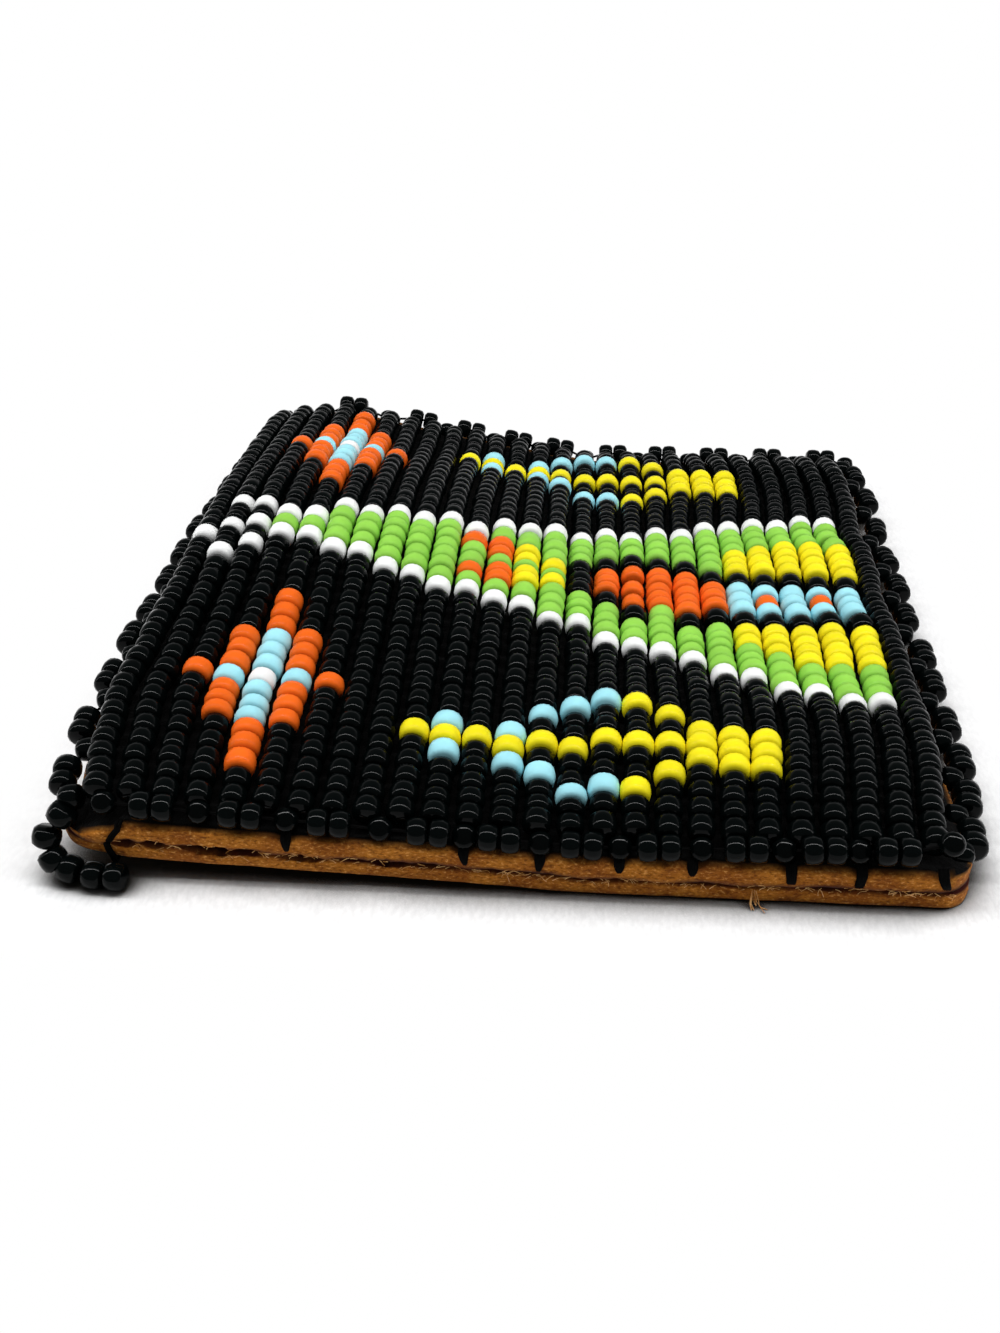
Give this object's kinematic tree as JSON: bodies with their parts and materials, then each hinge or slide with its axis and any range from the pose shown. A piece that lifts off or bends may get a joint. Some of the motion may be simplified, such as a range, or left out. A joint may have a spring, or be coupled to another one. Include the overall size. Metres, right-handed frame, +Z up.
{
  "type": "beaded coin purse",
  "caption": "Flat suede coin purse, open at one edge, its front covered with lanes of glass seed beads in a wedge, star and arrow pattern, with a picot bead edging.",
  "frame": {"origin": "on the table, under the middle of the width and depth of the purse", "axes": "+Z up from the table through the beaded front, +Y from the mouth along the strands of beads, +X across the strands to the right, seen with the mouth towards the viewer"},
  "size_m": [0.0853, 0.0894, 0.0164],
  "materials": {
    "suede": "matte napped suede",
    "field_beads": "glossy opaque glass, black ground with orange, yellow, green, light blue and white figures",
    "edging_beads": "glossy opaque black glass"
  },
  "bodies": {
    "root": {"front_panel": "suede", "back_panel": "suede", "bead_strand_01": "field_beads", "bead_strand_02": "field_beads", "bead_strand_03": "field_beads", "bead_strand_04": "field_beads", "bead_strand_05": "field_beads", "bead_strand_06": "field_beads", "bead_strand_07": "field_beads", "bead_strand_08": "field_beads", "bead_strand_09": "field_beads", "bead_strand_10": "field_beads", "bead_strand_11": "field_beads", "bead_strand_12": "field_beads", "bead_strand_13": "field_beads", "bead_strand_14": "field_beads", "bead_strand_15": "field_beads", "bead_strand_16": "field_beads", "bead_strand_17": "field_beads", "bead_strand_18": "field_beads", "bead_strand_19": "field_beads", "bead_strand_20": "field_beads", "bead_strand_21": "field_beads", "bead_strand_22": "field_beads", "bead_strand_23": "field_beads", "bead_strand_24": "field_beads", "bead_strand_25": "field_beads", "bead_strand_26": "field_beads", "near_edging": "edging_beads", "far_edging": "edging_beads", "left_edging": "edging_beads", "right_edging": "edging_beads", "corner_edging": "edging_beads"}
  },
  "joints": []
}
